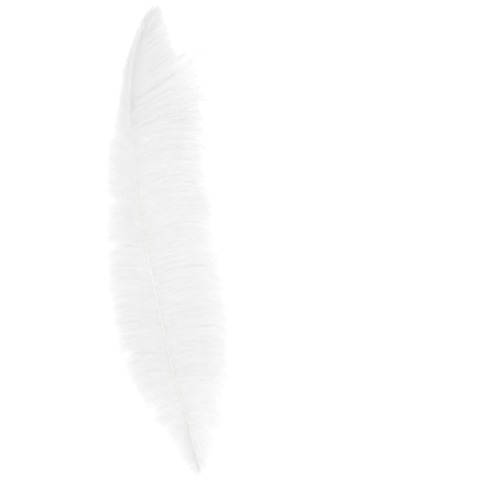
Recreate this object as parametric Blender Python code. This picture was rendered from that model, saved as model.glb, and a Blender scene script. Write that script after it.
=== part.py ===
"""An ostrich feather, half a metre long, lying flat: the shaft and its locks of barbs in one grown solid."""
import math
import random

import bmesh
import bpy
from mathutils import Matrix, Vector

# The plan of the feather, in metres. It is measured from the quill's end: first along the straight
# line to the tip, then to the right of that line.
SHAFT_PLAN = (
    (0.000, 0.0000), (0.060, -0.0085), (0.110, -0.0180), (0.200, -0.0290), (0.290, -0.0375),
    (0.350, -0.0385), (0.400, -0.0355), (0.440, -0.0300), (0.468, -0.0205), (0.486, -0.0090),
    (0.496, -0.0020),
)
# Where single barbs leave the shaft (along), and where their tips lie (along, right).
LEFT_BARBS = (
    (0.012, 0.002, -0.0110), (0.045, 0.030, -0.0260), (0.075, 0.062, -0.0470),
    (0.105, 0.100, -0.0635), (0.140, 0.140, -0.0740), (0.190, 0.193, -0.0785),
    (0.250, 0.257, -0.0755), (0.310, 0.329, -0.0690), (0.335, 0.357, -0.0650),
    (0.360, 0.387, -0.0550), (0.385, 0.413, -0.0455), (0.410, 0.441, -0.0365),
    (0.450, 0.480, -0.0175), (0.486, 0.503, -0.0025),
)
RIGHT_BARBS = (
    (0.012, 0.002, 0.0100), (0.045, 0.025, 0.0210), (0.075, 0.063, 0.0340),
    (0.105, 0.102, 0.0415), (0.140, 0.139, 0.0465), (0.190, 0.190, 0.0450),
    (0.250, 0.254, 0.0380), (0.310, 0.316, 0.0365), (0.355, 0.362, 0.0385),
    (0.371, 0.384, 0.0400), (0.385, 0.415, 0.0430), (0.392, 0.438, 0.0435),
    (0.397, 0.454, 0.0430), (0.403, 0.443, 0.0290), (0.412, 0.446, 0.0220),
    (0.424, 0.451, 0.0125), (0.440, 0.464, 0.0110), (0.458, 0.480, 0.0070),
    (0.472, 0.494, 0.0050), (0.486, 0.503, 0.0020),
)
# The middle of the whole feather's box in that plan, which is the part's origin.
PLAN_MIDDLE = (0.2519, -0.0162)

QUILL_RADIUS = 0.0021
QUILL_POINT_LENGTH = 0.010
# How thick the blunt point is at its end, as a share of the quill.
QUILL_POINT_SHARE = 0.45
SHAFT_END_RADIUS = 0.0005
TAPER_POWER = 0.85
TIP_SINK = 0.0013
SHAFT_STATIONS = 26
ARCH_HEIGHT = 0.0120
# Below 1, the arch is highest nearer to the quill than to the tip.
ARCH_POWER = 0.8

LOCKS_PER_SIDE = 33
FIRST_ROOT = 0.013
LAST_ROOT = 0.486
# How much a barb curves outwards on its way, in degrees, by where it leaves the shaft (along).
LEFT_BENDS = (
    (0.012, 10.0), (0.100, 15.0), (0.200, 15.0), (0.310, 16.0), (0.380, 12.0), (0.486, 6.0),
)
RIGHT_BENDS = (
    (0.012, 10.0), (0.100, 18.0), (0.200, 22.0), (0.310, 23.0), (0.365, 20.0), (0.395, 5.0),
    (0.440, 8.0), (0.486, 5.0),
)
# How wide a lock is on its way from the shaft to its tip, as shares of its length and of its width.
LOCK_OUTLINE = (
    (0.00, 0.42), (0.10, 0.86), (0.30, 1.00), (0.55, 0.94), (0.78, 0.64), (0.92, 0.32), (1.00, 0.06),
)
# Where a barb's arc turns most, as a share of the straight way to its tip, and how fast it falls.
ELBOW_SHARE = 0.55
FALL_POWER = 1.5
# What share * (1 - share) ** 2 is at most, which makes a rise of that form one high.
RISE_PEAK = 4 / 27
LOCK_OVERLAP = 1.28
LOCK_LEAST_WIDTH = 0.0065
LOCK_MOST_WIDTH_SHARE = 0.6
LOCK_FLATNESS = 0.21
LOCK_SHOULDER = 0.45
LOCK_LIFT = 0.085
LOCK_STAGGER = 0.0009
LOCK_LENGTH_SPREAD = 0.0035
LOCK_LENGTH_SPREAD_SHARE = 0.1
LOCK_SIDE_SPREAD = 0.2
LOCK_BEND_SPREAD = (0.8, 1.15)
TIP_HEIGHTS = (-0.0003, 0.0012)
GROUND_SIZE = (0.4, 0.8, 0.1)
FEATHER_COLOUR = (0.86, 0.86, 0.85, 1.0)
FEATHER_ROUGHNESS = 0.8
SEED = 11


def through(stations, x):
    """The value at x of a smooth line through the stations, each (x, value)."""
    last = len(stations) - 1
    i = 0
    while i < last - 1 and x > stations[i + 1][0]:
        i += 1
    (x0, y0), (x1, y1) = stations[i], stations[i + 1]
    before = stations[max(i - 1, 0)]
    after = stations[min(i + 2, last)]
    slope0 = (y1 - before[1]) / (x1 - before[0])
    slope1 = (after[1] - y0) / (after[0] - x0)
    step = x1 - x0
    f = (x - x0) / step
    return (
        y0 * (1 + 2 * f) * (1 - f) ** 2
        + slope0 * step * f * (1 - f) ** 2
        + y1 * f * f * (3 - 2 * f)
        - slope1 * step * f * f * (1 - f)
    )


def placed(along, right, height):
    """A point of the plan in the part's own frame."""
    return Vector((right - PLAN_MIDDLE[1], along - PLAN_MIDDLE[0], height))


def shaft_radius(along):
    """The shaft tapers from the quill to a hair at the tip, and the quill ends in a blunt point."""
    share = min(1.0, along / SHAFT_PLAN[-1][0])
    blunt = QUILL_POINT_SHARE + (1 - QUILL_POINT_SHARE) * math.sqrt(min(1.0, along / QUILL_POINT_LENGTH))
    return blunt * (SHAFT_END_RADIUS + (QUILL_RADIUS - SHAFT_END_RADIUS) * (1 - share) ** TAPER_POWER)


def shaft_point(along):
    """A point of the shaft's centre line, which arches over the surface that the feather lies on."""
    share = min(1.0, max(0.0, along / SHAFT_PLAN[-1][0]))
    arch = ARCH_HEIGHT * math.sin(math.pi * share ** ARCH_POWER)
    return placed(along, through(SHAFT_PLAN, along), QUILL_RADIUS + arch - TIP_SINK * share)


def tip_point(barbs, root):
    """Where the tip of the barb that leaves the shaft at root touches the surface below."""
    along = through([(barb[0], barb[1]) for barb in barbs], root)
    right = through([(barb[0], barb[2]) for barb in barbs], root)
    return placed(along, right, 0.0)


def turned(vector, angle):
    return Matrix.Rotation(angle, 3, "Z") @ vector


def lock_point(start, tip, bend, lift, share):
    """A point on a lock's arc: it leaves the shaft steeply, rises a little and droops to its tip."""
    chord = tip - start
    elbow = start + turned(Vector((chord.x, chord.y, 0)), bend) * ELBOW_SHARE
    flat = start * (1 - share) ** 2 + elbow * 2 * share * (1 - share) + tip * share ** 2
    fall = (1 - share) ** FALL_POWER
    rise = lift * share * (1 - share) ** 2 / RISE_PEAK
    return Vector((flat.x, flat.y, tip.z + (start.z - tip.z) * fall + rise))


def new_object(name, data, collection):
    made = bpy.data.objects.new(name, data)
    collection.objects.link(made)
    return made


def mesh_of_curve(drawn, collection):
    """Replaces a curve by the closed mesh that it draws."""
    bpy.context.view_layer.update()
    graph = bpy.context.evaluated_depsgraph_get()
    mesh = bpy.data.meshes.new_from_object(drawn.evaluated_get(graph))
    shape = bmesh.new()
    shape.from_mesh(mesh)
    bmesh.ops.remove_doubles(shape, verts=shape.verts, dist=1e-6)
    bmesh.ops.recalc_face_normals(shape, faces=shape.faces)
    shape.to_mesh(mesh)
    shape.free()
    solid = new_object(drawn.name + " solid", mesh, collection)
    solid.matrix_world = drawn.matrix_world
    bpy.data.objects.remove(drawn)
    return solid


def curve_through(name, points, radii, collection):
    """A poly curve through the points, each with its radius, with closed ends."""
    curve = bpy.data.curves.new(name, "CURVE")
    curve.dimensions = "3D"
    curve.twist_mode = "Z_UP"
    curve.use_fill_caps = True
    spline = curve.splines.new("POLY")
    spline.points.add(len(points) - 1)
    for spline_point, point, radius in zip(spline.points, points, radii):
        spline_point.co = (*point, 1.0)
        spline_point.radius = radius
    return new_object(name, curve, collection)


def make_shaft(collection):
    """The shaft, from the blunt quill to the tip."""
    end = SHAFT_PLAN[-1][0]
    step = (end - QUILL_POINT_LENGTH) / SHAFT_STATIONS
    stations = [0.0, QUILL_POINT_LENGTH / 3]
    stations += [QUILL_POINT_LENGTH + step * i for i in range(SHAFT_STATIONS + 1)]
    points = [shaft_point(along) for along in stations]
    drawn = curve_through("shaft", points, [shaft_radius(along) for along in stations], collection)
    drawn.data.bevel_depth = 1.0
    drawn.data.bevel_resolution = 2
    return mesh_of_curve(drawn, collection)


def make_lock_section(collection):
    """The lens-shaped section of a lock, two metres wide, which each lock's radius brings to size."""
    curve = bpy.data.curves.new("lock section", "CURVE")
    curve.dimensions = "2D"
    spline = curve.splines.new("POLY")
    half = ((1.0, 0.0), (LOCK_SHOULDER, LOCK_FLATNESS), (-LOCK_SHOULDER, LOCK_FLATNESS))
    corners = half + tuple((-x, -y) for x, y in half)
    spline.points.add(len(corners) - 1)
    for spline_point, (x, y) in zip(spline.points, corners):
        spline_point.co = (x, y, 0.0, 1.0)
    spline.use_cyclic_u = True
    return new_object("lock section", curve, collection)


def lock_width(barbs, root, spacing, chord):
    """As wide as the room between its neighbours, halfway between the shaft and the edge."""
    before, after = root - spacing / 2, root + spacing / 2
    room = (shaft_point(after) - shaft_point(before) + tip_point(barbs, after) - tip_point(barbs, before)) / 2
    across = abs(room.to_2d().cross(chord.to_2d().normalized()))
    return min(max(LOCK_LEAST_WIDTH, LOCK_OVERLAP * across), LOCK_MOST_WIDTH_SHARE * chord.length)


def make_lock(name, barbs, bends, side, root, spacing, level, section, collection):
    """One lock of barbs: a flat tapering blade from the shaft to the edge of the vane."""
    start = shaft_point(root)
    tip = tip_point(barbs, root)
    chord = tip - start
    width = lock_width(barbs, root, spacing, chord)
    bend = side * math.radians(through(bends, root)) * random.uniform(*LOCK_BEND_SPREAD)
    longer = min(LOCK_LENGTH_SPREAD, LOCK_LENGTH_SPREAD_SHARE * chord.length)
    tip += chord.normalized() * random.uniform(-1, 1) * longer
    sideways = turned(chord.normalized(), math.pi / 2)
    tip += sideways * random.uniform(-1, 1) * LOCK_SIDE_SPREAD * width
    tip.z = random.uniform(*TIP_HEIGHTS)
    lift = LOCK_LIFT * chord.length + level * LOCK_STAGGER
    points = [lock_point(start, tip, bend, lift, share) for share, _ in LOCK_OUTLINE]
    drawn = curve_through(name, points, [width / 2 * wide for _, wide in LOCK_OUTLINE], collection)
    drawn.data.bevel_mode = "OBJECT"
    drawn.data.bevel_object = section
    solid = mesh_of_curve(drawn, collection)
    solid.hide_render = True
    solid.display_type = "WIRE"


def make_locks(collection):
    """The locks of both vanes. Neighbours lie a little above or below each other, so they overlap."""
    random.seed(SEED)
    section = make_lock_section(collection)
    spacing = (LAST_ROOT - FIRST_ROOT) / (LOCKS_PER_SIDE - 1)
    for vane, barbs, bends, side in (
        ("left", LEFT_BARBS, LEFT_BENDS, -1), ("right", RIGHT_BARBS, RIGHT_BENDS, 1)
    ):
        for i in range(LOCKS_PER_SIDE):
            root = FIRST_ROOT + spacing * i
            level = 1 if i % 2 else -1
            make_lock(f"{vane} lock {i}", barbs, bends, side, root, spacing, level, section, collection)
    bpy.data.objects.remove(section)


def make_ground(collection):
    """What lies below the surface that the feather rests on, which trims the locks that reach it."""
    bpy.ops.mesh.primitive_cube_add(size=1.0, location=(0.0, 0.0, -GROUND_SIZE[2] / 2))
    ground = bpy.context.active_object
    ground.name = "ground"
    ground.scale = GROUND_SIZE
    bpy.ops.object.transform_apply(location=False, rotation=False, scale=True)
    for holder in list(ground.users_collection):
        holder.objects.unlink(ground)
    collection.objects.link(ground)
    ground.hide_render = True
    ground.display_type = "WIRE"
    return ground


def skins_of(shape):
    """The faces of a mesh, grouped by what hangs together. Skins that only touch at an edge are apart."""
    left = set(shape.faces)
    skins = []
    while left:
        fresh = [left.pop()]
        skin = set(fresh)
        while fresh:
            sides = [side for side in fresh.pop().edges if len(side.link_faces) == 2]
            near = {face for side in sides for face in side.link_faces} & left
            left -= near
            skin |= near
            fresh.extend(near)
        skins.append(skin)
    return skins


def fuse(feather, locks, ground):
    """Fuses the locks to the shaft, trims them at the ground and fills the sealed pockets between them."""
    joined = feather.modifiers.new("locks", "BOOLEAN")
    joined.operation = "UNION"
    joined.solver = "MANIFOLD"
    joined.operand_type = "COLLECTION"
    joined.collection = locks
    trimmed = feather.modifiers.new("ground", "BOOLEAN")
    trimmed.operation = "DIFFERENCE"
    trimmed.solver = "MANIFOLD"
    trimmed.object = ground
    bpy.context.view_layer.update()
    graph = bpy.context.evaluated_depsgraph_get()
    fused = bpy.data.meshes.new_from_object(feather.evaluated_get(graph))
    feather.modifiers.clear()
    shape = bmesh.new()
    shape.from_mesh(fused)
    bmesh.ops.triangulate(shape, faces=shape.faces)
    skins = skins_of(shape)
    outside = max(skins, key=len)
    pockets = [face for skin in skins if skin is not outside for face in skin]
    bmesh.ops.delete(shape, geom=pockets, context="FACES")
    shape.to_mesh(fused)
    shape.free()
    feather.data = fused


def feather_material():
    """Bleached feather: a soft matte white."""
    material = bpy.data.materials.new("bleached feather")
    material.use_nodes = True
    surface = material.node_tree.nodes["Principled BSDF"]
    surface.inputs["Base Color"].default_value = FEATHER_COLOUR
    surface.inputs["Roughness"].default_value = FEATHER_ROUGHNESS
    surface.inputs["Metallic"].default_value = 0.0
    return material


def clear_scene():
    for old in list(bpy.data.objects):
        bpy.data.objects.remove(old)
    for old in list(bpy.data.collections):
        bpy.data.collections.remove(old)


def new_collection(name):
    made = bpy.data.collections.new(name)
    bpy.context.scene.collection.children.link(made)
    return made


def main():
    clear_scene()
    ostrich_feather = new_collection("ostrich feather")
    locks = new_collection("lock blanks")
    cutters = new_collection("cutters")
    feather = make_shaft(ostrich_feather)
    feather.name = "feather"
    make_locks(locks)
    fuse(feather, locks, make_ground(cutters))
    feather.data.materials.append(feather_material())


main()
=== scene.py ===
"""The looks of an ostrich feather that lies flat: its shaft, and every barb with its barbules as mesh."""
import math
import random

import bpy
import numpy as np
from mathutils import Matrix, Vector


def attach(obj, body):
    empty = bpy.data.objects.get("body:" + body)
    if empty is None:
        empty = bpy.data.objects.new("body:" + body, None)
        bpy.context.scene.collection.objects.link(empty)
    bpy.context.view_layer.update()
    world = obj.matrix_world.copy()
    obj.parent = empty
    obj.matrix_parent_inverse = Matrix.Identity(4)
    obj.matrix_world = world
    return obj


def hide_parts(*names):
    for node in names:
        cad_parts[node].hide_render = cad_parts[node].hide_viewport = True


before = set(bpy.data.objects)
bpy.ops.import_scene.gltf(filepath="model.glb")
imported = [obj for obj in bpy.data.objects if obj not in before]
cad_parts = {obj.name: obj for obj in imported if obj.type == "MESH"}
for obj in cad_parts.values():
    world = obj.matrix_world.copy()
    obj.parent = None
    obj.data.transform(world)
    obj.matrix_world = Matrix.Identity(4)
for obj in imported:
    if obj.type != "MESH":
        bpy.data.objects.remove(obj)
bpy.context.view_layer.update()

# The plan of the feather, in metres, as in the part's source: from the quill's end along the straight
# line to the tip, then to the right of that line.
SHAFT_PLAN = (
    (0.000, 0.0000), (0.060, -0.0085), (0.110, -0.0180), (0.200, -0.0290), (0.290, -0.0375),
    (0.350, -0.0385), (0.400, -0.0355), (0.440, -0.0300), (0.468, -0.0205), (0.486, -0.0090),
    (0.496, -0.0020),
)
# Where single barbs leave the shaft (along), and where their tips lie (along, right).
LEFT_BARBS = (
    (0.012, -0.001, -0.0120), (0.045, 0.030, -0.0260), (0.075, 0.062, -0.0470),
    (0.105, 0.100, -0.0635), (0.140, 0.140, -0.0740), (0.190, 0.193, -0.0785),
    (0.250, 0.257, -0.0755), (0.310, 0.329, -0.0690), (0.335, 0.357, -0.0650),
    (0.360, 0.387, -0.0550), (0.385, 0.413, -0.0460), (0.410, 0.441, -0.0385),
    (0.450, 0.480, -0.0195), (0.486, 0.503, -0.0025),
)
RIGHT_BARBS = (
    (0.012, -0.001, 0.0085), (0.045, 0.025, 0.0210), (0.075, 0.063, 0.0340),
    (0.105, 0.102, 0.0415), (0.140, 0.139, 0.0465), (0.190, 0.190, 0.0450),
    (0.250, 0.254, 0.0380), (0.310, 0.316, 0.0365), (0.355, 0.362, 0.0385),
    (0.371, 0.384, 0.0400), (0.385, 0.415, 0.0430), (0.392, 0.438, 0.0435),
    (0.3965, 0.4515, 0.0385), (0.3985, 0.4360, 0.0300), (0.4000, 0.4220, 0.0165),
    (0.4015, 0.4315, 0.0205), (0.4035, 0.4455, 0.0290), (0.412, 0.4465, 0.0220),
    (0.424, 0.4515, 0.0130), (0.440, 0.4645, 0.0120), (0.458, 0.480, 0.0080),
    (0.472, 0.494, 0.0060), (0.486, 0.503, 0.0020),
)
# The middle of the whole feather's box in that plan, which is the part's origin.
PLAN_MIDDLE = (0.2519, -0.0162)

QUILL_RADIUS = 0.0021
QUILL_POINT_LENGTH = 0.010
# How thick the blunt point is at its end, as a share of the quill.
QUILL_POINT_SHARE = 0.45
SHAFT_END_RADIUS = 0.0005
TAPER_POWER = 0.85
TIP_SINK = 0.0013
ARCH_HEIGHT = 0.0120
# Below 1, the arch is highest nearer to the quill than to the tip.
ARCH_POWER = 0.8
# Closer stations where the quill's point rounds off, and even ones from there to the tip.
QUILL_STATIONS = (0.0, 0.0015, 0.0040, 0.0070, 0.0110)
SHAFT_STATIONS = 64
SHAFT_SIDES = 12
# The groove below the shaft, as a share of its radius.
GROOVE_DEPTH = 0.35
# Half of the stretch over which the shaft's heading is taken.
HEADING_STEP = 0.002

# The locks of the part's solid, which the barbs gather into. The lift is how high barbs rise on their
# way, as a share of their reach.
LOCKS_PER_SIDE = 33
FIRST_ROOT = 0.013
LAST_ROOT = 0.486
LOCK_LIFT = 0.062

# The barbs, in metres.
LEFT_COUNT = 366
RIGHT_COUNT = 358
BARB_STATIONS = 15
STRAND_SIZES = (2, 3, 3, 4)
# How high on the shaft barbs leave it, as a share of its radius, and how high their tips lie.
START_HEIGHT_SHARE = 0.6
TIP_HEIGHTS = (0.0006, 0.0030)
# How far tips stray along a barb and aside of it, as shares of its reach, and how far its bend does.
TIP_STRAY_ALONG = 0.16
TIP_STRAY_ASIDE = 0.10
BEND_STRAY = 0.5
# How much of that stray the middles of locks, of strands and single barbs have.
LOCK_SPREAD = 0.15
STRAND_SPREAD = 0.12
BARB_SPREAD = 0.24
# How far along their arcs locks and strands gather, where strands end, and where their barbs end.
GATHERED_END = 1.05
STRAND_ENDS = (0.90, 1.06)
BARB_ENDS = (0.98, 1.04)
# How far a barb's root strays, in steps between neighbours, and how far it rolls, in radians.
ROOT_STRAY = 0.4
ROLL_STRAY = 0.3
# How much a strand's hold strays from the tables below, its most, and the hold of locks.
HOLD_STRAYS = (0.4, 1.6)
HOLD_MOST = 0.95
LOCK_HOLDS = (0.00, 0.10)
# Fine waves of a barb: how many radians they take on its way, where they start, and how high they are.
WAVE_TURNS = (3.0, 9.0)
WAVE_STARTS = (0.0, 6.3)
WAVE_HEIGHTS = (0.0, 0.0016)
# Short barbs have shorter barbules: their size with no reach, and the reach that adds one to it.
SHORT_BARB_SIZE = 0.60
SIZE_REACH = 0.080
# How closely barbs stand along the shaft, by where they leave it: closer where their tips fan out. The
# tables are summed up in so many steps.
CLOSENESS_STEPS = 1000
LEFT_CLOSENESS = (
    (0.013, 0.8), (0.045, 0.9), (0.080, 1.2), (0.140, 1.25), (0.190, 1.0), (0.360, 1.0),
    (0.390, 1.4), (0.486, 1.4),
)
RIGHT_CLOSENESS = (
    (0.013, 0.8), (0.045, 0.9), (0.140, 1.1), (0.190, 1.0), (0.350, 1.0), (0.370, 1.4),
    (0.396, 1.6), (0.425, 1.4), (0.445, 1.0), (0.486, 1.0),
)
# How closely barbules stand at a barb's tip against its root, and then how closely on the whole barb,
# by where the barb leaves.
LEFT_TIP_SHARES = ((0.013, 0.9), (0.060, 0.6), (0.486, 0.6))
RIGHT_TIP_SHARES = (
    (0.013, 0.9), (0.060, 0.5), (0.180, 0.5), (0.250, 0.9), (0.350, 1.6), (0.375, 3.2), (0.400, 4.0),
    (0.430, 3.6), (0.486, 1.4),
)
DENSITIES = (
    (0.013, 0.28), (0.030, 0.40), (0.050, 0.80), (0.085, 1.10), (0.340, 1.00), (0.380, 0.90),
    (0.3965, 0.90), (0.4000, 0.50), (0.4035, 0.85), (0.430, 0.94), (0.486, 1.00),
)
# How strongly the barbs of a strand hold together at their tips, from 0 to 1, by where they leave.
LEFT_HOLDS = ((0.013, 0.20), (0.380, 0.20), (0.486, 0.35))
RIGHT_HOLDS = ((0.013, 0.20), (0.385, 0.25), (0.397, 0.75), (0.425, 0.90), (0.445, 0.60), (0.486, 0.50))
# Where neighbouring barbs part at a vane's edge: where they leave the shaft, how far along it the
# parting reaches to each side, and how far it moves tips away from it.
LEFT_PARTINGS = (
    (0.044, 0.012, 0.0018), (0.060, 0.010, 0.0024), (0.079, 0.012, 0.0026), (0.131, 0.018, 0.0024),
    (0.244, 0.022, 0.0030), (0.283, 0.020, 0.0028), (0.347, 0.016, 0.0020),
)
RIGHT_PARTINGS = (
    (0.052, 0.012, 0.0016), (0.400, 0.004, 0.0003), (0.442, 0.008, 0.0008), (0.460, 0.008, 0.0010),
)
# How bare barbs are at their tips, from 0 to 1, by where they leave.
LEFT_BARENESS = ((0.013, 0.0), (0.400, 0.0), (0.486, 0.4))
RIGHT_BARENESS = ((0.013, 0.0), (0.385, 0.1), (0.397, 0.7), (0.425, 0.7), (0.440, 0.45), (0.486, 0.30))
# How much a barb curves outwards on its way, in degrees, by where it leaves the shaft (along).
LEFT_BENDS = (
    (0.012, 10.0), (0.100, 15.0), (0.200, 15.0), (0.310, 16.0), (0.380, 12.0), (0.486, 6.0),
)
RIGHT_BENDS = (
    (0.012, 10.0), (0.100, 18.0), (0.200, 22.0), (0.310, 23.0), (0.365, 18.0), (0.385, 2.0),
    (0.3965, -15.0), (0.4035, -2.0), (0.425, 0.0), (0.445, 6.0), (0.486, 5.0),
)
RIB_ROOT_RADIUS = 0.00012
RIB_TIP_RADIUS = 0.00005
BARBULES_PER_METRE = 22900
BARBULE_WIDTH = 0.00017
# How far barbules lean out from the way to the tip, and how far they tilt up or down, in degrees.
BARBULE_LEANS = (30, 78)
BARBULE_TILT = 32.0
# How long barbules are on the way from a barb's root to its tip.
BARBULE_LENGTHS = (
    (0.00, 0.0026), (0.08, 0.0034), (0.30, 0.0040), (0.70, 0.0041), (0.88, 0.0030), (1.00, 0.0013),
)
# How far their lengths stray from that.
BARBULE_SIZES = (0.6, 1.25)
# Where a barb's arc turns most, as a share of the straight way to its tip, and how fast it falls.
ELBOW_SHARE = 0.55
FALL_POWER = 1.5
# What share * (1 - share) ** 2 is at most, which makes a rise of that form one high.
RISE_PEAK = 4 / 27
FLOOR_GAP = 0.0003
# Each vane is one mesh for each of these stretches of the shaft.
STRETCHES = ("base", "lower", "upper", "tip")

# The down round the quill, in metres.
DOWN_BARBS = 120
DOWN_ROOTS = (0.003, 0.086)
DOWN_LENGTHS = (0.010, 0.026)
DOWN_PAST_QUILL = 0.009
# How far the down turns aside of the shaft, as shares of the widest turn: further to the left. The
# widest turn is in degrees at the quill's end, and grows by so many degrees per metre.
DOWN_TURNS = (-1.3, 0.6)
DOWN_WIDEST_TURN = 46
DOWN_TURN_GROWTH = 400
# How far the down rises and then falls, as shares of its reach.
DOWN_RISES = (0.1, 0.4)
DOWN_FALLS = (0.3, 0.7)
DOWN_WAVE_TURNS = (3.0, 7.0)
DOWN_WAVE_HEIGHTS = (0.0, 0.0025)
DOWN_ROLL = 1.5
# The down's barbules against those of the vanes.
DOWN_SIZE = 0.7
DOWN_DENSITY = 0.27
DOWN_TIP_SHARE = 0.5

SEED = 11
DOWN_SEED = 7


def through(stations, x):
    """The value at x of a smooth line through the stations, each (x, value)."""
    last = len(stations) - 1
    i = 0
    while i < last - 1 and x > stations[i + 1][0]:
        i += 1
    (x0, y0), (x1, y1) = stations[i], stations[i + 1]
    before = stations[max(i - 1, 0)]
    after = stations[min(i + 2, last)]
    slope0 = (y1 - before[1]) / (x1 - before[0])
    slope1 = (after[1] - y0) / (after[0] - x0)
    step = x1 - x0
    f = (x - x0) / step
    return (
        y0 * (1 + 2 * f) * (1 - f) ** 2
        + slope0 * step * f * (1 - f) ** 2
        + y1 * f * f * (3 - 2 * f)
        - slope1 * step * f * f * (1 - f)
    )


def smooth(x):
    """Goes from 0 to 1 with soft ends."""
    return x * x * (3 - 2 * x)


def placed(along, right, height):
    """A point of the plan in the part's own frame."""
    return Vector((right - PLAN_MIDDLE[1], along - PLAN_MIDDLE[0], height))


def shaft_radius(along):
    """The shaft tapers from the quill to a hair at the tip, and the quill ends in a blunt point."""
    share = min(1.0, along / SHAFT_PLAN[-1][0])
    blunt = QUILL_POINT_SHARE + (1 - QUILL_POINT_SHARE) * math.sqrt(min(1.0, along / QUILL_POINT_LENGTH))
    return blunt * (SHAFT_END_RADIUS + (QUILL_RADIUS - SHAFT_END_RADIUS) * (1 - share) ** TAPER_POWER)


def shaft_point(along):
    """A point of the shaft's centre line, which arches over the surface that the feather lies on."""
    share = min(1.0, max(0.0, along / SHAFT_PLAN[-1][0]))
    arch = ARCH_HEIGHT * math.sin(math.pi * share ** ARCH_POWER)
    return placed(along, through(SHAFT_PLAN, along), QUILL_RADIUS + arch - TIP_SINK * share)


def shaft_heading(along):
    return (shaft_point(along + HEADING_STEP) - shaft_point(along - HEADING_STEP)).normalized()


def tip_point(barbs, root):
    """Where the tip of the barb that leaves the shaft at root touches the surface below."""
    along = through([(barb[0], barb[1]) for barb in barbs], root)
    right = through([(barb[0], barb[2]) for barb in barbs], root)
    return placed(along, right, 0.0)


def turned(vector, angle):
    return Matrix.Rotation(angle, 3, "Z") @ vector


# Modelling: the shaft


def model_shaft():
    """The shaft: a disc with a groove below, drawn out from the quill's end to the tip."""
    stations = list(QUILL_STATIONS)
    reach = SHAFT_PLAN[-1][0] - stations[-1]
    stations += [stations[-1] + reach * (i + 1) / SHAFT_STATIONS for i in range(SHAFT_STATIONS)]
    here = shaft_point(stations[0])
    bpy.ops.object.select_all(action="DESELECT")
    bpy.ops.mesh.primitive_circle_add(
        vertices=SHAFT_SIDES, radius=shaft_radius(stations[0]), fill_type="NGON",
        location=here, rotation=(math.pi / 2, 0.0, 0.0),
    )
    shaft = bpy.context.active_object
    shaft.name = "shaft"
    bpy.ops.object.transform_apply()
    lowest = min(shaft.data.vertices, key=lambda vertex: vertex.co.z).index
    bpy.ops.object.mode_set(mode="EDIT")
    bpy.ops.mesh.select_all(action="DESELECT")
    bpy.ops.object.mode_set(mode="OBJECT")
    shaft.data.vertices[lowest].select = True
    bpy.ops.object.mode_set(mode="EDIT")
    bpy.ops.transform.translate(value=(0.0, 0.0, GROOVE_DEPTH * shaft_radius(stations[0])))
    bpy.ops.mesh.select_all(action="SELECT")
    for before, along in zip(stations, stations[1:]):
        there = shaft_point(along)
        grown = shaft_radius(along) / shaft_radius(before)
        bpy.ops.mesh.extrude_region_move(TRANSFORM_OT_translate={"value": there - here})
        bpy.ops.transform.resize(value=(grown, grown, grown), center_override=there)
        here = there
    bpy.ops.mesh.select_all(action="SELECT")
    bpy.ops.mesh.normals_make_consistent(inside=False)
    bpy.ops.object.mode_set(mode="OBJECT")
    rounded = shaft.modifiers.new("rounded", "SUBSURF")
    rounded.levels = rounded.render_levels = 1
    bpy.ops.object.modifier_apply(modifier=rounded.name)
    bpy.ops.object.shade_smooth()
    return shaft


# Modelling: the barbs


def barb_path(start, tip, bend, lift, end):
    """A barb's arc: it leaves the shaft steeply, rises a little and droops to its tip."""
    share = np.linspace(0.0, end, BARB_STATIONS)[:, None]
    chord = tip - start
    elbow = start + turned(Vector((chord.x, chord.y, 0)), bend) * ELBOW_SHARE
    start, elbow, tip = np.array(start), np.array(elbow), np.array(tip)
    path = start * (1 - share) ** 2 + elbow * 2 * share * (1 - share) + tip * share ** 2
    left = np.maximum(1 - share[:, 0], 0.0)
    rise = lift * share[:, 0] * left ** 2 / RISE_PEAK
    path[:, 2] = tip[2] + (start[2] - tip[2]) * left ** FALL_POWER + rise
    return path


def parted(partings, root):
    """Which root's tip the barb at root takes, so that barbs to both sides of a parting lean apart."""
    for place, width, shift in partings:
        away = (root - place) / width
        if abs(away) < 1:
            return root + math.copysign(shift * (1 - abs(away)), away)
    return root


def vane_path(barbs, bends, partings, side, root, draw, spread, end):
    """The arc of a barb, or of the middle of a strand or lock of barbs, with some spread in its way."""
    start = shaft_point(root) + Vector((0.0, 0.0, START_HEIGHT_SHARE * shaft_radius(root)))
    tip = tip_point(barbs, parted(partings, root))
    chord = tip - start
    bend_stray = BEND_STRAY * spread
    bend = side * math.radians(through(bends, root)) * draw.uniform(1 - bend_stray, 1 + bend_stray)
    reach = chord.length
    tip += chord.normalized() * draw.uniform(-1, 1) * spread * TIP_STRAY_ALONG * reach
    aside = turned(chord.normalized(), math.pi / 2)
    tip += aside * draw.uniform(-1, 1) * spread * TIP_STRAY_ASIDE * reach
    tip.z = draw.uniform(*TIP_HEIGHTS)
    lift = LOCK_LIFT * reach * draw.uniform(1 - spread, 1 + spread)
    return barb_path(start, tip, bend, lift, end)


def frames_along(path):
    """Which way a path runs at each of its points, with a level direction across and one up."""
    ahead = np.gradient(path, axis=0)
    ahead /= np.linalg.norm(ahead, axis=1)[:, None]
    across = np.cross((0.0, 0.0, 1.0), ahead)
    across /= np.linalg.norm(across, axis=1)[:, None]
    return ahead, across, np.cross(ahead, across)


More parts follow.
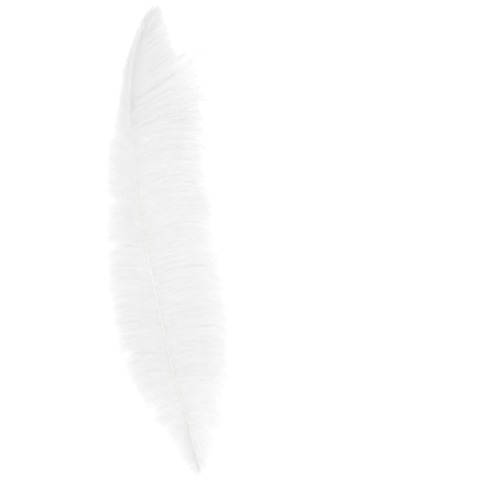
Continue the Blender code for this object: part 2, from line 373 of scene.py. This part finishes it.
def rib_of(path, root_radius, tip_radius):
    """A barb's own rib: a thin three-sided rod with closed ends."""
    ahead, across, up = frames_along(path)
    radius = np.linspace(root_radius, tip_radius, len(path))[:, None]
    corners = [
        path + radius * (math.cos(angle) * across + math.sin(angle) * up)
        for angle in (math.pi / 2, math.pi * 7 / 6, math.pi * 11 / 6)
    ]
    points = np.stack(corners, axis=1).reshape(-1, 3)
    ring = 3 * np.arange(len(path) - 1)[:, None]
    walls = []
    for here, there in ((0, 1), (1, 2), (2, 0)):
        walls.append(np.hstack((ring + here, ring + there, ring + 3 + there)))
        walls.append(np.hstack((ring + here, ring + 3 + there, ring + 3 + here)))
    last = 3 * (len(path) - 1)
    ends = np.array([[0, 2, 1], [last, last + 1, last + 2]])
    return points, np.vstack(walls + [ends])


def barbules_of(path, count, roll, size, bare, tip_share, rng):
    """Barbules along both sides of a barb, each a long thin triangle that leans towards the tip."""
    ahead, across, up = frames_along(path)
    where = (1 - np.sqrt(1 - rng.random(count) * (1 - tip_share ** 2))) / (1 - tip_share)
    spot = where * (len(path) - 1)
    first = np.minimum(spot.astype(int), len(path) - 2)
    part = (spot - first)[:, None]

    def between(values):
        return values[first] * (1 - part) + values[first + 1] * part

    foot, ahead, across, up = between(path), between(ahead), between(across), between(up)
    side = np.where(rng.random(count) < 0.5, -1.0, 1.0)
    lean = np.radians(rng.uniform(*BARBULE_LEANS, count))
    tilt = roll + np.radians(rng.normal(0.0, BARBULE_TILT, count))
    out = (side * np.cos(tilt))[:, None] * across + (side * np.sin(tilt))[:, None] * up
    way = np.cos(lean)[:, None] * ahead + np.sin(lean)[:, None] * out
    lengths = np.interp(where, *zip(*BARBULE_LENGTHS)) * rng.uniform(*BARBULE_SIZES, count) * size
    lengths *= 1 - bare * smooth(where)
    half = ahead * BARBULE_WIDTH / 2
    tips = foot + way * lengths[:, None]
    points = np.stack((foot - half, foot + half, tips), axis=1)
    low = np.cross(points[:, 1] - points[:, 0], points[:, 2] - points[:, 0])[:, 2] < 0
    points[low] = points[low][:, [1, 0, 2]]
    return points.reshape(-1, 3), np.arange(3 * count).reshape(-1, 3)


class Tuft:
    """Barbs gathered for one mesh."""

    def __init__(self):
        self.points = []
        self.faces = []
        self.size = 0

    def add(self, points, faces):
        self.points.append(points)
        self.faces.append(faces + self.size)
        self.size += len(points)

    def add_barb(self, path, roll, size, density, bare, tip_share, rng):
        path[:, 2] = np.maximum(path[:, 2], 2 * FLOOR_GAP)
        length = np.linalg.norm(np.diff(path, axis=0), axis=1).sum()
        count = round(length * size * density * BARBULES_PER_METRE)
        self.add(*rib_of(path, RIB_ROOT_RADIUS, RIB_TIP_RADIUS))
        self.add(*barbules_of(path, count, roll, size, bare, tip_share, rng))

    def mesh_object(self, name):
        points = np.vstack(self.points)
        faces = np.vstack(self.faces)
        points[:, 2] = np.maximum(points[:, 2], FLOOR_GAP)
        mesh = bpy.data.meshes.new(name)
        mesh.vertices.add(len(points))
        mesh.vertices.foreach_set("co", points.ravel())
        mesh.loops.add(faces.size)
        mesh.loops.foreach_set("vertex_index", faces.ravel())
        mesh.polygons.add(len(faces))
        mesh.polygons.foreach_set("loop_start", np.arange(0, faces.size, 3))
        mesh.update(calc_edges=True)
        plan = mesh.uv_layers.new(name="OFBake")
        low, high = points.min(axis=0), points.max(axis=0)
        flat = (points[faces.ravel(), :2] - low[:2]) / (high - low)[:2].max()
        plan.data.foreach_set("uv", flat.ravel())
        piece = bpy.data.objects.new(name, mesh)
        bpy.context.scene.collection.objects.link(piece)
        return piece


def make_down(tuft):
    """The down: soft barbs from the lowest part of the shaft, which lean back over the quill and droop."""
    draw = random.Random(f"down {SEED}")
    rng = np.random.default_rng([SEED, DOWN_SEED])
    way = np.linspace(0.0, 1.0, BARB_STATIONS)[:, None]
    for _ in range(DOWN_BARBS):
        root = draw.triangular(*DOWN_ROOTS, DOWN_ROOTS[0])
        side = draw.uniform(-1, 1)
        beside = turned(shaft_heading(root), math.pi / 2) * side
        on_top = Vector((0.0, 0.0, math.sqrt(1 - side * side)))
        start = shaft_point(root) + (beside + on_top) * shaft_radius(root)
        widest = math.radians(DOWN_WIDEST_TURN + DOWN_TURN_GROWTH * root)
        leave = turned(-shaft_heading(root), draw.uniform(*DOWN_TURNS) * widest)
        reach = min(draw.uniform(*DOWN_LENGTHS), root + DOWN_PAST_QUILL)
        path = np.array(start) + way * np.array(leave) * reach
        droop = draw.uniform(*DOWN_RISES) * way - draw.uniform(*DOWN_FALLS) * way ** 2
        path[:, 2] += reach * droop[:, 0]
        across, up = frames_along(path)[1:]
        for sideways in (across, up):
            waves = np.sin(way * draw.uniform(*DOWN_WAVE_TURNS) + draw.uniform(*WAVE_STARTS))
            path = path + sideways * waves * way * draw.uniform(*DOWN_WAVE_HEIGHTS)
        roll = draw.uniform(-DOWN_ROLL, DOWN_ROLL)
        tuft.add_barb(path, roll, DOWN_SIZE, DOWN_DENSITY, 0.0, DOWN_TIP_SHARE, rng)


def dress(piece, finish):
    piece.data.materials.append(finish)
    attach(piece, "root")


def roots_of(count, closeness):
    """Where barbs leave the shaft, from the quill on."""
    places = np.linspace(FIRST_ROOT, LAST_ROOT, CLOSENESS_STEPS)
    shares = np.cumsum(np.interp(places, *zip(*closeness)))
    return np.interp(np.linspace(shares[0], shares[-1], count), shares, places)


def make_vane(vane, plan, side, roots, holds, bareness, tip_shares, tufts):
    """One vane's barbs. Neighbours gather in strands of a few, and strands in locks, more so towards
    their tips. Each tuft takes the barbs of one stretch of the shaft."""
    draw = random.Random(f"{vane} vane {SEED}")
    rng = np.random.default_rng([SEED, side + 1])
    way = np.linspace(0.0, 1.0, BARB_STATIONS)[:, None]
    lock_step = (LAST_ROOT - FIRST_ROOT) / (LOCKS_PER_SIDE - 1)
    locks = [
        vane_path(*plan, side, FIRST_ROOT + lock_step * i, draw, LOCK_SPREAD, GATHERED_END)
        for i in range(LOCKS_PER_SIDE)
    ]
    breaks = [parting[0] for parting in plan[2]] + [LAST_ROOT]
    in_strand = 0
    strand_break = FIRST_ROOT
    for i, place in enumerate(roots):
        step = (roots[min(i + 1, len(roots) - 1)] - roots[max(i - 1, 0)]) / 2
        root = place + step * draw.uniform(-ROOT_STRAY, ROOT_STRAY)
        root = min(max(root, FIRST_ROOT), LAST_ROOT)
        lock = locks[min(round((root - FIRST_ROOT) / lock_step), LOCKS_PER_SIDE - 1)]
        if in_strand == 0 or root > strand_break:
            in_strand = draw.choice(STRAND_SIZES)
            strand_break = min(at for at in breaks if at >= root)
            middle = min(root + step * in_strand / 2, strand_break)
            strand = vane_path(*plan, side, middle, draw, STRAND_SPREAD, GATHERED_END)
            strand_roll = draw.uniform(-ROLL_STRAY, ROLL_STRAY)
            strand_hold = min(HOLD_MOST, np.interp(root, *zip(*holds)) * draw.uniform(*HOLD_STRAYS))
            lock_hold = draw.uniform(*LOCK_HOLDS) * (1 - strand_hold)
            strand_end = draw.uniform(*STRAND_ENDS)
        in_strand -= 1
        end = strand_end * draw.uniform(*BARB_ENDS)
        own = vane_path(*plan, side, root, draw, BARB_SPREAD, end)
        to_strand = strand_hold * smooth(way)
        to_lock = lock_hold * way ** 2
        path = own * (1 - to_strand - to_lock) + strand * to_strand + lock * to_lock
        across, up = frames_along(path)[1:]
        for sideways in (across, up):
            waves = np.sin(way * draw.uniform(*WAVE_TURNS) + draw.uniform(*WAVE_STARTS))
            path = path + sideways * waves * way * draw.uniform(*WAVE_HEIGHTS)
        reach = np.linalg.norm(path[-1] - path[0])
        size = min(1.0, SHORT_BARB_SIZE + reach / SIZE_REACH)
        tuft = tufts[int(len(tufts) * i / len(roots))]
        roll = strand_roll + draw.uniform(-ROLL_STRAY, ROLL_STRAY)
        density, bare, tip_share = (
            np.interp(root, *zip(*stations)) for stations in (DENSITIES, bareness, tip_shares)
        )
        tuft.add_barb(path, roll, size, density, bare, tip_share, rng)


# Materials

# Tints as sRGB hex: of barbs by a noise, and of the shaft by its place from the quill's end (0) to
# the tip (1). The shaft's tints are partly its own pale tone and partly painted shade: the darker
# stretches along it stand for the shade beside and between the barbs' roots. The shaft is whitest at
# the quill, which is painted light against the shade of the down over it.
BARB_TINTS = ((0.35, "#FCFCFC"), (0.65, "#FDFDFD"))
SHAFT_TINTS_AND_PAINTED_SHADE = (
    (0.07, "#FBFBFA"), (0.12, "#E9E9E7"), (0.28, "#E9E9E7"), (0.42, "#F1F1EF"), (0.54, "#ECECEA"),
    (0.68, "#F3F3F1"),
)
SHAFT_HALF_LENGTH = 0.25
STREAK_TINT = "#FAFAF9"
PAPER_TINT = "#FEFEFE"
# How much of the light goes through the barbs.
THROUGH_SHARE = 0.45


def colour(hex_code):
    """An sRGB hex colour as the linear values that a shader takes."""
    values = [int(hex_code[i:i + 2], 16) / 255 for i in (1, 3, 5)]
    return tuple(v / 12.92 if v <= 0.04045 else ((v + 0.055) / 1.055) ** 2.4 for v in values) + (1.0,)


def add_node(material, kind, settings=(), links=()):
    """Adds one node. Settings name its own attributes or its inputs, and links feed inputs from sockets."""
    node = material.node_tree.nodes.new(kind)
    for name, value in dict(settings).items():
        if name in node.inputs:
            node.inputs[name].default_value = value
        else:
            setattr(node, name, value)
    for name, socket in dict(links).items():
        material.node_tree.links.new(socket, node.inputs[name])
    return node


def new_material(name, **shader_settings):
    """A material with one Principled shader."""
    material = bpy.data.materials.new(name)
    material.use_nodes = True
    shader = material.node_tree.nodes["Principled BSDF"]
    for setting, value in shader_settings.items():
        shader.inputs[setting.replace("_", " ")].default_value = value
    return material, shader


def set_tints(ramp, tints):
    """Gives a colour ramp its tints, each (position, sRGB hex)."""
    elements = ramp.color_ramp.elements
    elements.remove(elements[1])
    elements[0].position = tints[0][0]
    elements[0].color = colour(tints[0][1])
    for position, tint in tints[1:]:
        elements.new(position).color = colour(tint)


def bleached_barbs():
    """Bleached keratin barbs: matte white that light goes through, a little lighter in some patches."""
    material, shader = new_material("bleached barbs", Roughness=0.75, IOR=1.54, Metallic=0.0)
    place = add_node(material, "ShaderNodeTexCoord")
    patches = add_node(
        material, "ShaderNodeTexNoise", {"Scale": 60.0, "Detail": 2.0}, {"Vector": place.outputs["Object"]}
    )
    tints = add_node(material, "ShaderNodeValToRGB", links={"Fac": patches.outputs["Fac"]})
    set_tints(tints, BARB_TINTS)
    material.node_tree.links.new(tints.outputs["Color"], shader.inputs["Base Color"])
    through_light = add_node(material, "ShaderNodeBsdfTranslucent", links={"Color": tints.outputs["Color"]})
    both = add_node(
        material, "ShaderNodeMixShader", {"Fac": THROUGH_SHARE},
        {1: shader.outputs["BSDF"], 2: through_light.outputs["BSDF"]},
    )
    out = material.node_tree.nodes["Material Output"]
    material.node_tree.links.new(both.outputs["Shader"], out.inputs["Surface"])
    return material


def bleached_shaft():
    """Bleached keratin shaft: smooth and horn-like, with fine streaks along it, and a tone along it that is
    partly painted shade, with painted light at the quill.
    """
    material, shader = new_material("bleached shaft", Roughness=0.38, IOR=1.54, Metallic=0.0)
    place = add_node(material, "ShaderNodeTexCoord")
    drawn_out = add_node(
        material, "ShaderNodeMapping", {"Scale": (1.0, 0.02, 1.0)}, {"Vector": place.outputs["Object"]}
    )
    streaks = add_node(
        material, "ShaderNodeTexNoise", {"Scale": 1800.0, "Detail": 2.0},
        {"Vector": drawn_out.outputs["Vector"]},
    )
    parts = add_node(material, "ShaderNodeSeparateXYZ", links={"Vector": place.outputs["Object"]})
    along = add_node(
        material, "ShaderNodeMapRange",
        {"From Min": -SHAFT_HALF_LENGTH, "From Max": SHAFT_HALF_LENGTH}, {"Value": parts.outputs["Y"]},
    )
    tints = add_node(material, "ShaderNodeValToRGB", links={"Fac": along.outputs["Result"]})
    # The shaft's tints are partly its own tone and partly painted shade, with painted light at the quill.
    set_tints(tints, SHAFT_TINTS_AND_PAINTED_SHADE)
    streaked = add_node(
        material, "ShaderNodeMixRGB", {"blend_type": "MULTIPLY", "Color2": colour(STREAK_TINT)},
        {"Fac": streaks.outputs["Fac"], "Color1": tints.outputs["Color"]},
    )
    material.node_tree.links.new(streaked.outputs["Color"], shader.inputs["Base Color"])
    return material


def white_paper():
    """A sheet of white paper under the feather."""
    material, shader = new_material("white paper", Roughness=0.9, Metallic=0.0)
    shader.inputs["Base Color"].default_value = colour(PAPER_TINT)
    shader.inputs["Specular IOR Level"].default_value = 0.0
    return material


# The scene

# How many metres of the feather a pixel of the picture shows.
PIXEL_SIZE = 0.0010636
FRAME_PIXELS = 480
CAMERA_TURN = math.radians(-5.43)
# The point at the middle of the picture.
FRAME_MIDDLE = (0.0821, -0.0082, 0.008)
LENS = 100.0
SENSOR = 36.0
SKY_STRENGTH = 1.03
SOFTBOX_PLACE = (0.1, -0.9, 1.0)
SOFTBOX_TARGET = (0.0, -0.15, 0.0)
SOFTBOX_SIZE = 1.2
SOFTBOX_WATTS = 2.4
FLOOR_SIZE = 8.0


def make_camera():
    """Looks straight down, turned so that the feather leans to the left."""
    camera = bpy.data.cameras.new("camera")
    camera.lens = LENS
    camera.sensor_width = SENSOR
    away = FRAME_PIXELS * PIXEL_SIZE * LENS / SENSOR
    camera.clip_start, camera.clip_end = 0.01, 20.0
    holder = bpy.data.objects.new("camera", camera)
    holder.location = Vector(FRAME_MIDDLE) + Vector((0.0, 0.0, away))
    holder.rotation_euler = (0.0, 0.0, CAMERA_TURN)
    bpy.context.scene.collection.objects.link(holder)
    bpy.context.scene.camera = holder


def make_lights():
    world = bpy.data.worlds.new("white studio")
    bpy.context.scene.world = world
    world.use_nodes = True
    sky = world.node_tree.nodes["Background"]
    sky.inputs["Color"].default_value = (1.0, 1.0, 1.0, 1.0)
    sky.inputs["Strength"].default_value = SKY_STRENGTH
    softbox = bpy.data.lights.new("softbox", "AREA")
    softbox.size = SOFTBOX_SIZE
    softbox.energy = SOFTBOX_WATTS
    lamp = bpy.data.objects.new("softbox", softbox)
    lamp.location = SOFTBOX_PLACE
    lamp.rotation_euler = (Vector(SOFTBOX_TARGET) - lamp.location).to_track_quat("-Z", "Y").to_euler()
    bpy.context.scene.collection.objects.link(lamp)
    bpy.context.scene.view_settings.view_transform = "Standard"
    # Light goes from barb to barb many times in a white feather before it comes out again.
    bpy.context.scene.cycles.max_bounces = 32
    bpy.context.scene.cycles.diffuse_bounces = 24
    bpy.context.scene.cycles.transmission_bounces = 24


def make_floor():
    bpy.ops.object.select_all(action="DESELECT")
    bpy.ops.mesh.primitive_plane_add(size=FLOOR_SIZE, location=(0.0, 0.0, 0.0))
    floor = bpy.context.active_object
    floor.name = "floor"
    floor.data.materials.append(white_paper())


def main():
    make_camera()
    make_lights()
    make_floor()
    dress(model_shaft(), bleached_shaft())
    barbs_finish = bleached_barbs()
    down = Tuft()
    make_down(down)
    dress(down.mesh_object("down"), barbs_finish)
    left_plan = (LEFT_BARBS, LEFT_BENDS, LEFT_PARTINGS)
    right_plan = (RIGHT_BARBS, RIGHT_BENDS, RIGHT_PARTINGS)
    left_roots = roots_of(LEFT_COUNT, LEFT_CLOSENESS)
    right_roots = roots_of(RIGHT_COUNT, RIGHT_CLOSENESS)
    for vane, *looks in (
        ("left", left_plan, -1, left_roots, LEFT_HOLDS, LEFT_BARENESS, LEFT_TIP_SHARES),
        ("right", right_plan, 1, right_roots, RIGHT_HOLDS, RIGHT_BARENESS, RIGHT_TIP_SHARES),
    ):
        tufts = [Tuft() for stretch in STRETCHES]
        make_vane(vane, *looks, tufts)
        for tuft, stretch in zip(tufts, STRETCHES):
            piece = tuft.mesh_object(f"{vane}_barbs_{stretch}")
            dress(piece, barbs_finish)
            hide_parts("feather")


main()
